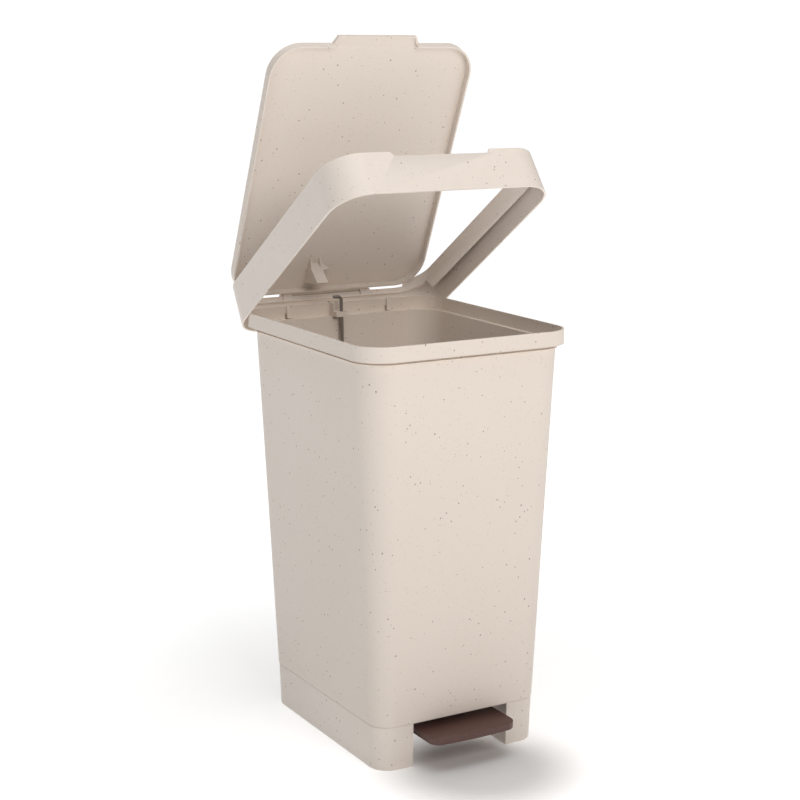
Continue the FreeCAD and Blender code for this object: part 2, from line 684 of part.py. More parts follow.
def make_axle_clips():
    """Two spring clips on the ends of the axle."""
    clips = []
    for sx in (-1, 1):
        inner = sx * (hub_half_length + side_gap + cheek_thick + 0.4)
        outer = inner + sx * clip_thick
        x0, x1 = min(inner, outer), max(inner, outer)
        ring = roller(clip_radius, x0, x1, pivot_y, pivot_z)
        hole = roller(axle_radius, x0 - 1, x1 + 1, pivot_y, pivot_z)
        gap = box(x0 - 1, x1 + 1, pivot_y - 1.2, pivot_y + 1.2, pivot_z - 8, pivot_z)
        clips.append(without(ring, hole, gap))
    return Part.makeCompound(clips)


# ---- write every node ------------------------------------------------------------------------------------
nodes = {
    "bin_body": make_bin_body(),
    "base_plinth": make_base_plinth(),
    "base_screws": make_base_screws(),
    "hinge_bracket_left": make_hinge_bracket(-1),
    "hinge_bracket_right": make_hinge_bracket(1),
    "rod_guide_clip": make_rod_guide_clip(),
    "rod_floor_bush": make_rod_floor_bush(),
    "lever_bumper": make_lever_bumper(),
    "bag_ring": make_bag_ring(),
    "ring_hinge_pin_left": make_ring_hinge_pin(-1),
    "ring_hinge_pin_right": make_ring_hinge_pin(1),
    "lid_hinge_pin_left": make_lid_hinge_pin(-1),
    "lid_hinge_pin_right": make_lid_hinge_pin(1),
    "lid_panel": make_lid_panel(),
    "lid_striker": make_lid_striker(),
    "lid_pad_left": make_lid_pad(-1),
    "lid_pad_right": make_lid_pad(1),
    "lift_rod": make_lift_rod(),
    "rod_bead": make_rod_bead(),
    "rod_nut": make_rod_nut(),
    "pedal_lever": make_pedal_lever(),
    "pedal_pad": make_pedal_pad(),
    "pedal_axle": make_pedal_axle(),
    "axle_clips": make_axle_clips(),
}
for side, sx in (("left", -1), ("right", 1)):
    for end, sy in (("front", -1), ("back", 1)):
        nodes["foot_%s_%s" % (end, side)] = make_foot(sx, sy)

for name, shape in nodes.items():
    shape.exportStep("parts/%s.step" % name)
    size = shape.BoundBox
    print("%-22s solids %d valid %s volume %8.0f  z %.1f..%.1f y %.1f..%.1f" % (
        name, len(shape.Solids), shape.isValid(), shape.Volume, size.ZMin, size.ZMax, size.YMin, size.YMax))
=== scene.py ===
# %% [markdown]
# # A pedal trash can, dressed around its CAD frame
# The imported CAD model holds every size, place and joint. This lesson loads it as a fixed frame and
# gives each plastic shell the soft edges, thin walls and flecked finish of a real moulding. All lengths
# are in metres, +Z is up and the pedal side faces -Y.

# %% Load the frame
import bmesh
import bpy
import json
import math
from mathutils import Matrix, Quaternion, Vector


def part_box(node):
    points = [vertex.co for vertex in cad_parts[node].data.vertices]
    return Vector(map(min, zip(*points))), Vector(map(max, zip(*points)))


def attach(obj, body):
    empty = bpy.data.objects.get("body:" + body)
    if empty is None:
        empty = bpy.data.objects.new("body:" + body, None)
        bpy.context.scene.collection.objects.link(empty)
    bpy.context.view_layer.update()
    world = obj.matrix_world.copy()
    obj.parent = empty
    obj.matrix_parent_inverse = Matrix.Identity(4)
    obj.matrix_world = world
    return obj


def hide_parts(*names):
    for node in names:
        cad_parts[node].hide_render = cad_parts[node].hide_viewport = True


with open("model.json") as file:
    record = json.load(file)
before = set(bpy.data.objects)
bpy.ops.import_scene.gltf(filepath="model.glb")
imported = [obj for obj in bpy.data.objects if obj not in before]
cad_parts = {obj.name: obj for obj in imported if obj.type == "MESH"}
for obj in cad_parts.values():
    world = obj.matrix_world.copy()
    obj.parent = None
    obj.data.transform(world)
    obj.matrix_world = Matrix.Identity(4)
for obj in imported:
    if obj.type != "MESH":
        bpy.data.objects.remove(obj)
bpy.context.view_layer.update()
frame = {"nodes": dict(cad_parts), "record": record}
mm = 0.001

# %% [markdown]
# The bag ring and the lid stand lifted at rest. Both are easier to model lying shut and flat, so each
# is made shut and then carried to its place by turning it about its hinges. The hinges' places come
# from the record. The lid's hinge is stated where it is at rest, so it is turned back to the shut pose.

# %% Hinges and turns
joints = {j["name"]: j for j in frame["record"]["behaviour"]["joints"]}
ring_axis = Vector(joints["ring_hinge"]["pos_m"])
ring_turn = -joints["ring_hinge"]["range_deg"][0]
lid_turn = -joints["lid_hinge"]["range_deg"][0]
opens = Vector((-1, 0, 0))


def turned(point, centre, degrees):
    """The point after a turn that lifts the front edge."""
    return centre + Matrix.Rotation(math.radians(degrees), 3, opens) @ (Vector(point) - centre)


lid_axis = turned(joints["lid_hinge"]["pos_m"], ring_axis, -ring_turn)
print("ring turn", ring_turn, "lid turn", lid_turn, "lid axis shut", [round(v, 4) for v in lid_axis])

# %% [markdown]
# Every modelling step below is an operator, as in the editor. These helpers keep the steps short: they
# open a piece in edit mode, select by position and close it again.

# %% Edit-mode helpers


def take(piece):
    """Make one piece the only selected and the active object."""
    bpy.ops.object.select_all(action="DESELECT")
    piece.select_set(True)
    bpy.context.view_layer.objects.active = piece


def select_all(action="SELECT"):
    """Select or deselect everything in the open mesh."""
    bpy.ops.mesh.select_all(action=action)


def open_mesh(piece):
    """Enter edit mode on one piece with nothing selected."""
    take(piece)
    bpy.ops.object.mode_set(mode="EDIT")
    bpy.ops.mesh.select_mode(type="VERT")
    select_all("DESELECT")


def close_mesh():
    """Go back to object mode."""
    bpy.ops.object.mode_set(mode="OBJECT")


def edit_mesh():
    """The mesh that is open, with its vertices ready to be looked up by number."""
    mesh = bmesh.from_edit_mesh(bpy.context.edit_object.data)
    mesh.verts.ensure_lookup_table()
    return mesh


def select_where(test):
    """Select the vertices that pass a test on their position."""
    mesh = edit_mesh()
    for vert in mesh.verts:
        vert.select = bool(test(vert.co))
    mesh.select_flush_mode()
    mesh.select_flush(True)
    bmesh.update_edit_mesh(bpy.context.edit_object.data)


def adopt(name, scale=(1, 1, 1)):
    """Name and size the object just added, and put its place into its mesh."""
    piece = bpy.context.object
    piece.name = name
    piece.scale = scale
    take(piece)
    bpy.ops.object.transform_apply(location=True, rotation=True, scale=True)
    return piece


print("edit-mode helpers ready")

# %% [markdown]
# Blocks, bars and posts are primitives added at their size and place, then joined on or cut out.

# %% Tools to join and cut with


def box_piece(name, x, y, z):
    """A block between two limits along each axis, ready to be shaped further."""
    centre = [(a[0] + a[1]) / 2 for a in (x, y, z)]
    bpy.ops.mesh.primitive_cube_add(size=1, location=centre)
    return adopt(name, [abs(a[1] - a[0]) for a in (x, y, z)])


def roller_piece(name, radius, x0, x1, axis, sides=40):
    """A round bar across X that runs along a hinge's axis."""
    bpy.ops.mesh.primitive_cylinder_add(vertices=sides, radius=radius, depth=abs(x1 - x0),
                                        location=((x0 + x1) / 2, axis.y, axis.z),
                                        rotation=(0, math.pi / 2, 0))
    return adopt(name)


def post_piece(name, radius, x, y, z0, z1, sides=40):
    """An upright round bar."""
    bpy.ops.mesh.primitive_cylinder_add(vertices=sides, radius=radius, depth=z1 - z0,
                                        location=(x, y, (z0 + z1) / 2))
    return adopt(name)


print("tool shapes ready")

# %% [markdown]
# Ribs and bores could be modelled face by face, but they cross curved and tilted walls. A Boolean
# modifier finds those crossings exactly, and applying it at once leaves an ordinary mesh.

# %% Join and cut


def combine(piece, tool, operation):
    """Join or cut with a second body, then remove that body."""
    take(piece)
    change = piece.modifiers.new("combine", "BOOLEAN")
    change.operation = operation
    change.solver = "EXACT"
    change.object = tool
    bpy.ops.object.modifier_apply(modifier=change.name)
    bpy.data.objects.remove(tool, do_unlink=True)
    return piece


def cut(piece, tool):
    """Take a tool's shape away."""
    return combine(piece, tool, "DIFFERENCE")


def join(piece, tool):
    """Add a second body and make one skin of both."""
    return combine(piece, tool, "UNION")


print("booleans ready")

# %% [markdown]
# A moulded bin is a stack of rounded rectangles that change size with height. A plane whose four
# corners are bevelled gives the first one. Each further level is one extrude, after which each corner
# is scaled about its own centre and moved, which keeps every corner a true arc.

# %% Chain of rounded rectangles
corner_steps = 12


def corner_centre(section, z, sx, sy):
    """The centre of one corner's arc; a section is (half width, front, back, radius)."""
    half_width, front, back, radius = section
    y = back - radius if sy > 0 else -front + radius
    return Vector((sx * (half_width - radius), y, z))


def grown(section, d):
    """The same rounded rectangle moved outwards by d."""
    return (section[0] + d, section[1] + d, section[2] + d, section[3] + d)


def between(low, z_low, high, z_high, z):
    """The section at height z of a wall that tapers from one section to another."""
    t = (z - z_low) / (z_high - z_low)
    return tuple(a + (b - a) * t for a, b in zip(low, high))


def next_level(old, old_z, new, new_z):
    """Move the selected loop from one rounded rectangle to the next, corner by corner."""
    loop = [v.index for v in edit_mesh().verts if v.select]
    middle = (old[2] - old[1]) / 2
    ratio = new[3] / old[3]
    for sx in (-1, 1):
        for sy in (-1, 1):
            mesh = edit_mesh()
            select_all("DESELECT")
            for i in loop:
                vert = mesh.verts[i]
                vert.select = vert.co.x * sx > 0 and (vert.co.y - middle) * sy > 0
            mesh.select_flush_mode()
            start = corner_centre(old, old_z, sx, sy)
            end = corner_centre(new, new_z, sx, sy)
            bpy.ops.transform.resize(value=(ratio, ratio, 1), center_override=start)
            bpy.ops.transform.translate(value=end - start)
    mesh = edit_mesh()
    for i in loop:
        mesh.verts[i].select = True
    mesh.select_flush(True)


print("each corner arc has", corner_steps, "steps")

# %% [markdown]
# The chain can end in two caps, as the bucket's does, or run back to its first level, as a frame's does.
# Then the first face is removed, and the last loop is merged with the first one.

# %% Shell from a chain
merge_reach = 0.01 * mm


def chain(name, levels, ring=False):
    """A shell through the (section, z) levels: capped at both ends, or closed into a ring."""
    section, z = levels[0]
    half_width, front, back, radius = section
    bpy.ops.mesh.primitive_plane_add(size=1, location=(0, (back - front) / 2, z))
    piece = adopt(name, (2 * half_width, front + back, 1))
    bpy.ops.object.mode_set(mode="EDIT")
    bpy.ops.mesh.select_mode(type="VERT")
    select_all()
    bpy.ops.mesh.bevel(offset=radius, segments=corner_steps, affect="VERTICES")
    select_all()
    if ring:
        bpy.ops.mesh.delete(type="ONLY_FACE")
        select_all()
    steps = levels[1:] + (levels[:1] if ring else [])
    for new_section, new_z in steps:
        if ring:
            bpy.ops.mesh.extrude_edges_move()
        else:
            bpy.ops.mesh.extrude_region_move()
        next_level(section, z, new_section, new_z)
        section, z = new_section, new_z
    select_all()
    if ring:
        bpy.ops.mesh.remove_doubles(threshold=merge_reach)
    bpy.ops.mesh.normals_make_consistent(inside=False)
    close_mesh()
    return piece


print("chains merge within", merge_reach, "m")

# %% [markdown]
# Moulded edges are never sharp. After all cuts, a Bevel modifier that only takes clear angles rounds
# every rim, hole and rib at once, and smooth shading by angle finishes the look. A Weighted Normal
# modifier then keeps the large walls shading flat up to their rounded edges.

# %% Rounded edges
smooth_angle = math.radians(38)


def soften(piece, width, segments=3, angle=32):
    """Round every edge sharper than the angle, then shade smooth but keep walls flat."""
    take(piece)
    bevel = piece.modifiers.new("soft_edges", "BEVEL")
    bevel.width = width
    bevel.segments = segments
    bevel.limit_method = "ANGLE"
    bevel.angle_limit = math.radians(angle)
    bevel.miter_outer = "MITER_ARC"
    bpy.ops.object.modifier_apply(modifier=bevel.name)
    bpy.ops.object.shade_smooth_by_angle(angle=smooth_angle)
    flat = piece.modifiers.new("flat_faces_stay_flat", "WEIGHTED_NORMAL")
    flat.keep_sharp = True
    bpy.ops.object.modifier_apply(modifier=flat.name)
    return piece


def turn_mesh(piece, centre, degrees):
    """Carry a piece about a hinge, in its mesh, by a turn that lifts the front edge."""
    open_mesh(piece)
    select_all()
    bpy.ops.transform.rotate(value=math.radians(degrees), orient_axis="X", center_override=centre)
    close_mesh()


def report(piece):
    """Print a piece's face count and its limits in millimetres."""
    lo = [min(v.co[i] for v in piece.data.vertices) for i in range(3)]
    hi = [max(v.co[i] for v in piece.data.vertices) for i in range(3)]
    print("%-20s %6d faces" % (piece.name, len(piece.data.polygons)),
          [round(v * 1000, 1) for v in lo], [round(v * 1000, 1) for v in hi])


print("edges that turn less than", round(math.degrees(smooth_angle)), "degrees shade smooth")

# %% [markdown]
# ## The bucket
# The bucket is one deep moulding: a tapered wall, a small band, then a wider collar that ends in the
# rim. Its sections are rounded rectangles, deeper than wide, and slightly longer behind than in front.
# The rim's height is read from the frame, so that the bucket follows the CAD model.

# %% Bucket sizes
rim_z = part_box("bin_body")[1][2]
wall = 2.5 * mm
foot = (102 * mm, 127 * mm, 127 * mm, 22 * mm)
neck = (124 * mm, 143 * mm, 147 * mm, 36 * mm)
collar = (129.5 * mm, 149 * mm, 155 * mm, 34 * mm)
collar_z = rim_z - 16.5 * mm
plinth_top = 49.5 * mm
floor_z = 60 * mm
floor_thick = 3 * mm
band_z = collar_z - 4 * mm
band_out = 2 * mm
step_z = collar_z + 1.5 * mm
rod_x = -3 * mm
rod_foot_y = 115.3 * mm
rod_lean = 0.053364
bracket_x = 67 * mm


def body_section(z):
    """The outside of the tapered wall at one height."""
    return between(foot, 0, neck, collar_z, z)


def rod_y(z):
    """The lift rod leans back a little, so its place depends on the height."""
    return rod_foot_y + rod_lean * z


print("bucket rim at", round(rim_z, 4), "collar from", round(collar_z, 4))

# %% [markdown]
# One chain makes the shell, from under the floor up the outside, over the rim and down the inside. A
# Solidify modifier would give one even wall, but inside the collar a step is needed. Two thin
# grooves, over the plinth and under the collar, draw the dark lines a real bin shows there.

# %% Bucket shell
inner_neck = grown(body_section(step_z), -wall)
seam_high = 0.9 * mm
seam_deep = 0.8 * mm
groove_high = 3.0 * mm
groove_deep = 1.2 * mm
bucket = chain("bucket", [
    (grown(body_section(floor_z), -wall), floor_z),
    (grown(body_section(plinth_top), -wall), plinth_top),
    (grown(body_section(plinth_top), -seam_deep), plinth_top),
    (grown(body_section(plinth_top), -seam_deep), plinth_top + seam_high),
    (body_section(plinth_top + seam_high), plinth_top + seam_high),
    (body_section(band_z), band_z),
    (grown(neck, band_out), band_z),
    (grown(neck, band_out), collar_z - groove_high),
    (grown(neck, -groove_deep), collar_z - groove_high),
    (grown(neck, -groove_deep), collar_z),
    (collar, collar_z),
    (collar, rim_z),
    (grown(collar, -wall), rim_z),
    (grown(collar, -wall), step_z),
    (inner_neck, step_z),
    (grown(body_section(floor_z + floor_thick), -wall), floor_z + floor_thick),
])
print("bucket shell", len(bucket.data.polygons), "faces")

# %% [markdown]
# The snap brackets reach through two holes in the collar's back, and the rod's bush sits in one in the
# floor. Holes are cut before the edges are rounded, so that theirs are rounded as well.

# %% Bucket holes
hook_hole_half = 3.9 * mm
hook_hole = (collar_z + 1.7 * mm, collar_z + 8 * mm)
bush_hole = 3.45 * mm
for side in (-1, 1):
    middle = side * bracket_x
    cut(bucket, box_piece("hole", (middle - hook_hole_half, middle + hook_hole_half),
                          (collar[2] - wall - mm, collar[2] + mm), hook_hole))
cut(bucket, post_piece("hole", bush_hole, rod_x, rod_y(floor_z), floor_z - mm,
                       floor_z + floor_thick + mm))
soften(bucket, 0.35 * mm)
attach(bucket, "bin")
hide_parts("bin_body")
report(bucket)

# %% [markdown]
# ## The base plinth
# The plinth is a low skirt with a deck on top, and it carries the pedal's axle. The same chain makes
# it, from the deck's underside down the inside and up the outside.

# %% Plinth shell
plinth_wall = 3 * mm
deck_z = plinth_top - 3 * mm
opening = 60.5 * mm
opening_back = -95 * mm
pivot = Vector(joints["pedal_hinge"]["pos_m"])
hub_half = 30.5 * mm
cheek = 4 * mm
feet_x = 84 * mm
feet_y = 106 * mm

plinth = chain("plinth_skirt", [
    (grown(body_section(deck_z), -plinth_wall), deck_z),
    (grown(foot, -plinth_wall), 0),
    (foot, 0),
    (grown(body_section(plinth_top), -0.5 * mm), plinth_top),
])
print("plinth shell", len(plinth.data.polygons), "faces")

# %% [markdown]
# Cheeks for the axle and sockets for the feet hang under the deck, and two short walls line the pedal's
# opening. They are joined on a little too wide, so that the cut that follows leaves them flush.

# %% Plinth cheeks, sockets and liners
cheek_deep = 18 * mm
socket_r = 8 * mm
stem_r = 5.05 * mm
for side in (-1, 1):
    join(plinth, box_piece("liner", (side * (opening - 2 * mm), side * (opening + 2.5 * mm)),
                           (-125.5 * mm, opening_back), (0.2 * mm, plinth_top - mm)))
    web = box_piece("cheek", (side * hub_half, side * (hub_half + cheek)),
                    (pivot.y - cheek_deep, pivot.y + cheek_deep), (pivot.z - 8 * mm, deck_z + mm))
    open_mesh(web)
    select_where(lambda co: co.z < pivot.z)
    bpy.ops.transform.resize(value=(1, 0.4, 1), center_override=(0, pivot.y, 0))
    close_mesh()
    join(plinth, web)
    for end in (-1, 1):
        corner = (side * feet_x, end * feet_y)
        join(plinth, post_piece("socket", socket_r, *corner, 3.5 * mm, deck_z + mm))
        cut(plinth, post_piece("stem", stem_r, *corner, 3 * mm, 9.5 * mm))
print("plinth with cheeks", len(plinth.data.polygons), "faces")

# %% [markdown]
# The pedal comes out of an opening that is cut from the deck down to the floor. The lever's tail and
# the axle need room too.

# %% Plinth openings
axle_bore = 2.55 * mm
cut(plinth, box_piece("opening", (-opening, opening), (-150 * mm, opening_back),
                      (-mm, plinth_top + mm)))
cut(plinth, box_piece("tail_room", (rod_x - 20 * mm, rod_x + 20 * mm), (56 * mm, 123 * mm),
                      (deck_z - mm, plinth_top + mm)))
cut(plinth, roller_piece("axle_bore", axle_bore, -50 * mm, 50 * mm, pivot))
soften(plinth, 0.5 * mm)
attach(plinth, "bin")
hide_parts("base_plinth")
report(plinth)

# %% [markdown]
# ## The bag ring
# The ring is a frame with an outer skirt, a ledge that the lid rests on and an inner skirt that tucks
# the bag in. Its section has ten corners, so the chain of levels is closed on itself like a loop of
# ribbon.

# %% Ring frame
ring_top = rim_z + 23.7 * mm
ring_low = rim_z - 25 * mm
ring_wall = 2.2 * mm
ring_section_top = (131.7 * mm, 151.1 * mm, 171.1 * mm, 38 * mm)
ring_section_low = grown(ring_section_top, 1.7 * mm)
ledge_z = ring_top - 13.7 * mm
ledge_low = ledge_z - 2 * mm
mouth = (122 * mm, 141.5 * mm, 166 * mm, 29 * mm)
tuck_wall = 2 * mm
tuck_low = ledge_low - 13.6 * mm
tuck_end = 127 * mm


def ring_section(z):
    """The outside of the ring's skirt, which flares a little towards its lower edge."""
    return between(ring_section_low, ring_low, ring_section_top, ring_top, z)


ring = chain("bag_frame", [
    (ring_section_low, ring_low),
    (ring_section_top, ring_top),
    (grown(ring_section_top, -ring_wall), ring_top),
    (grown(ring_section(ledge_z), -ring_wall), ledge_z),
    (mouth, ledge_z),
    (mouth, tuck_low),
    (grown(mouth, tuck_wall), tuck_low),
    (grown(mouth, tuck_wall), ledge_low),
    (grown(ring_section(ledge_low), -ring_wall), ledge_low),
    (grown(ring_section_low, -ring_wall), ring_low),
], ring=True)
print("ring frame", len(ring.data.polygons), "faces")

# %% [markdown]
# The inner skirt stops short of the back with an angled end. A body that fills its outline is sliced
# with a slanted plane, and what is left is cut out of the ring.

# %% Inner skirt's end
around = 0.4 * mm
behind = chain("behind", [
    (grown(mouth, tuck_wall + around), tuck_low - mm),
    (grown(mouth, tuck_wall + around), ledge_low + 0.2 * mm),
])
open_mesh(behind)
select_all()
slant = Vector((0, 9 * mm, ledge_low - tuck_low))
bpy.ops.mesh.bisect(plane_co=(0, tuck_end, tuck_low), plane_no=(0, slant.z, -slant.y),
                    use_fill=True, clear_inner=True)
close_mesh()
cut(ring, behind)
report(ring)

# %% [markdown]
# The ring's front is notched for the lid's finger tab, and its back is lowered so that the lid can swing.
# The notch's upper edge is scaled wider first, which gives it sloping ends.

# %% Ring notch and lowered back
tab_half = 55 * mm
notch_half = tab_half + 3 * mm
barrel_r = 4.3 * mm
barrel_half = 45.6 * mm
gap = 0.5 * mm
knuckle = 12 * mm
pin_bore = 2.05 * mm

notch = box_piece("notch", (-notch_half, notch_half), (-165 * mm, -135 * mm),
                  (ring_top - 5 * mm, ring_top + mm))
open_mesh(notch)
select_where(lambda co: co.z > ring_top)
bpy.ops.transform.resize(value=((notch_half + 4 * mm) / notch_half, 1, 1), center_override=(0, 0, 0))
close_mesh()
cut(ring, notch)
back_half = ring_section_top[0] - 24 * mm
cut(ring, box_piece("rear_slot", (-back_half, back_half), (144 * mm, 200 * mm),
                    (lid_axis.z - 2 * mm, ring_top + 2 * mm)))
cradle_half = barrel_half + gap
cut(ring, box_piece("cradle", (-cradle_half, cradle_half), (166.5 * mm, 200 * mm),
                    (lid_axis.z - barrel_r - gap, ring_top + 2 * mm)))
print("ring notched", len(ring.data.polygons), "faces")

# %% [markdown]
# Two knuckles on the back strip hold the lid's pins, and two pairs of ears below hold the pins of the
# snap brackets. A narrow slit beside each knuckle lets light through, as the gap at a real hinge does.

# %% Ring knuckles and ears
ear_r = 5.2 * mm
ear_arm_half = 4.9 * mm
for side in (-1, 1):
    inner = side * cradle_half
    outer = side * (cradle_half + knuckle)
    join(ring, box_piece("web", (inner, outer), (167 * mm, lid_axis.y + 1.7 * mm),
                         (ledge_z - mm, lid_axis.z)))
    join(ring, roller_piece("knuckle", barrel_r, inner, outer, lid_axis))
    cut(ring, roller_piece("bore", pin_bore, inner - side * mm, outer + side * mm, lid_axis))
    for beside in (-1, 1):
        near = side * bracket_x + beside * 4.5 * mm
        far = near + beside * 4 * mm
        join(ring, box_piece("ear_arm", (near, far), (ring_axis.y, 169.9 * mm),
                             (ring_axis.z - ear_arm_half, ring_axis.z + ear_arm_half)))
        join(ring, roller_piece("ear", ear_r, near, far, ring_axis))
    middle = side * bracket_x
    cut(ring, roller_piece("bore", pin_bore, middle - 12 * mm, middle + 12 * mm, ring_axis))
    slit = sorted((outer + side * 3 * mm, side * (back_half - mm)))
    cut(ring, box_piece("slit", slit, (159 * mm, 200 * mm),
                        (lid_axis.z - 4.4 * mm, ring_top + 2 * mm)))
soften(ring, 0.7 * mm)
turn_mesh(ring, ring_axis, ring_turn)
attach(ring, "ring")
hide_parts("bag_ring")
report(ring)

# %% [markdown]
# ## The lid
# The lid is a flat plate with a thin skirt, and it sits inside the ring with a small gap all round. The
# chain goes from the plate's underside down inside the skirt, round its lower edge and up to the top.

# %% Lid plate
lid_gap = 1.1 * mm
lid_section = (ring_section_top[0] - ring_wall - lid_gap, ring_section_top[1] - ring_wall - lid_gap,
               lid_axis.y - 3.2 * mm, 36 * mm)
lid_skirt = 2.2 * mm
lid_low = ring_top - 10 * mm
lid_under = ring_top - 2.5 * mm
lid = chain("lid_shell", [
    (grown(lid_section, -lid_skirt), lid_under),
    (grown(lid_section, -lid_skirt), lid_low),
    (lid_section, lid_low),
    (lid_section, ring_top),
])
print("lid plate", len(lid.data.polygons), "faces")

# %% [markdown]
# The finger tab is joined on and hollowed from below, so that its rim is as thin as the skirt. The hinge
# barrel is cut away at both ends, where the ring's knuckles stand.

# %% Lid tab and barrel
front = lid_section[1]
tab_reach = 9.4 * mm
pin_deep = 16.5 * mm


def tab_block(name, half, reach, slope, inset, low, high):
    """A block on the lid's front edge whose far side is narrower."""
    piece = box_piece(name, (-half, half), (-front - reach, -front + inset), (low, high))
    open_mesh(piece)
    select_where(lambda co: co.y < -front)
    bpy.ops.transform.resize(value=((half - slope) / half, 1, 1), center_override=(0, 0, 0))
    close_mesh()
    return piece


join(lid, tab_block("tab", tab_half, tab_reach, 6 * mm, 1.1 * mm,
                    ring_top - 4.5 * mm, ring_top - 0.01 * mm))
cut(lid, tab_block("tab_hollow", tab_half - lid_skirt, tab_reach - lid_skirt, 5 * mm,
                   lid_skirt + 3 * mm, lid_low - mm, lid_under))
join(lid, box_piece("bridge", (-barrel_half, barrel_half), (lid_section[2] - mm, lid_axis.y),
                    (lid_under - 1.2 * mm, ring_top - 0.02 * mm)))
join(lid, roller_piece("barrel", barrel_r, -barrel_half, barrel_half, lid_axis))
for side in (-1, 1):
    end = side * barrel_half
    cut(lid, roller_piece("clear", barrel_r + gap, end, side * (barrel_half + knuckle + mm), lid_axis))
    cut(lid, roller_piece("bore", pin_bore, end - side * pin_deep, end + side * mm, lid_axis))
soften(lid, 0.6 * mm)
turn_mesh(lid, lid_axis, lid_turn)
turn_mesh(lid, ring_axis, ring_turn)
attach(lid, "lid")
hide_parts("lid_panel")
report(lid)

# %% [markdown]
# ## Small plastic pieces
# The wedge under the lid and the hooks are flat shapes pushed out sideways. A filled circle with as many
# corners as the outline is laid on its side, each corner is moved, and an extrude gives the thickness.

# %% Side outlines


def outline_piece(name, corners, x0, x1):
    """A plate across X whose side view has these (y, z) corners."""
    bpy.ops.mesh.primitive_circle_add(vertices=len(corners), radius=mm, fill_type="NGON",
                                      rotation=(0, math.pi / 2, 0))
    piece = adopt(name)
    open_mesh(piece)
    for i, (y, z) in enumerate(corners):
        mesh = edit_mesh()
        select_all("DESELECT")
        mesh.verts[i].select = True
        bpy.ops.transform.translate(value=Vector((x0, y, z)) - mesh.verts[i].co)
    select_all()
    bpy.ops.mesh.extrude_region_move(TRANSFORM_OT_translate={"value": (x1 - x0, 0, 0)})
    select_all()
    bpy.ops.mesh.normals_make_consistent(inside=False)
    close_mesh()
    return piece


print("side outlines ready")

# %% [markdown]
# The wedge reaches down beside the rod's hook, and two small prongs brace it where it meets the lid. The
# low pad next to it is what the hook pushes. The wedge is hollow from behind, like any thin moulding.

# %% Wedge under the lid
hook_tip = rod_x - 10.5 * mm
split = hook_tip - 1.3 * mm
wedge_left = split - 14.5 * mm
pad_right = rod_x - 3.5 * mm
face_z = lid_axis.z - 9.6 * mm


def below_lid(*corners):
    """Side corners given in mm, as the way forward from the lid's hinge and down from its plate."""
    return [(lid_axis.y - forward * mm, lid_under - down * mm) for forward, down in corners]


wedge = outline_piece("lid_wedge", below_lid((39.5, -1), (28.5, 29), (24.5, 26), (14, 2), (14, -1)),
                      wedge_left, split)
cut(wedge, outline_piece("hollow", below_lid((29, 1.5), (24.6, 21), (10, 21), (10, 1.5)),
                         wedge_left + 2 * mm, split - 2 * mm))
face = (lid_under - face_z) / mm
join(wedge, outline_piece("pad", below_lid((36, -0.9), (36, face + 1.9), (28, face + 0.3),
                                           (24, face), (20, face), (16, -0.9)),
                          split - 0.5 * mm, pad_right))
for x in (wedge_left + 0.1 * mm, split - 1.9 * mm):
    join(wedge, outline_piece("prong", below_lid((46, -0.8), (46, 2.5), (39, 7), (30, 4), (30, -0.8)),
                              x, x + 1.8 * mm))
soften(wedge, 0.9 * mm)
turn_mesh(wedge, lid_axis, lid_turn)
turn_mesh(wedge, ring_axis, ring_turn)
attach(wedge, "lid")
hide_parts("lid_striker")
report(wedge)

# %% [markdown]
# The clip hooks over the back rim and holds a loop round the lift rod, with a rib that stiffens it. Its
# blocks differ by a hundredth of a millimetre, because a Boolean dislikes faces that share a plane.

# %% Rod clip
inside = collar[2] - wall
loop_z = step_z
clip_left = rod_x - 9 * mm
clip_right = rod_x + 5.5 * mm
clip_bore = 2.45 * mm
clip = box_piece("rod_clip", (clip_left, clip_right), (inside - 2 * mm, inside),
                 (loop_z, rim_z + 2 * mm))
join(clip, box_piece("over", (clip_left, clip_right), (inside - 1.9 * mm, collar[2] + 2 * mm),
                     (rim_z, rim_z + 1.99 * mm)))
join(clip, box_piece("outside", (clip_left, clip_right), (collar[2], collar[2] + 1.99 * mm),
                     (rim_z - 7 * mm, rim_z + 1.9 * mm)))
join(clip, box_piece("loop", (clip_left + 0.01 * mm, clip_right - 0.01 * mm),
                     (rod_y(loop_z) - 4.6 * mm, inside - 1.5 * mm),
                     (loop_z + 0.01 * mm, loop_z + 6 * mm)))
join(clip, box_piece("rib", (clip_left + 0.02 * mm, clip_left + 2 * mm),
                     (rod_y(loop_z) + 3 * mm, inside - 1.5 * mm), (loop_z + 5 * mm, rim_z)))
cut(clip, post_piece("bore", clip_bore, rod_x, rod_y(loop_z + 3 * mm),
                     loop_z - mm, loop_z + 8 * mm))
soften(clip, 0.45 * mm)
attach(clip, "bin")
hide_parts("rod_guide_clip")
report(clip)

# %% [markdown]
# Each snap bracket has a knuckle outside the rim and a slim tongue that comes through the wall and stands
# up inside as a hook. A loop makes both, because they differ only in the side they sit on.

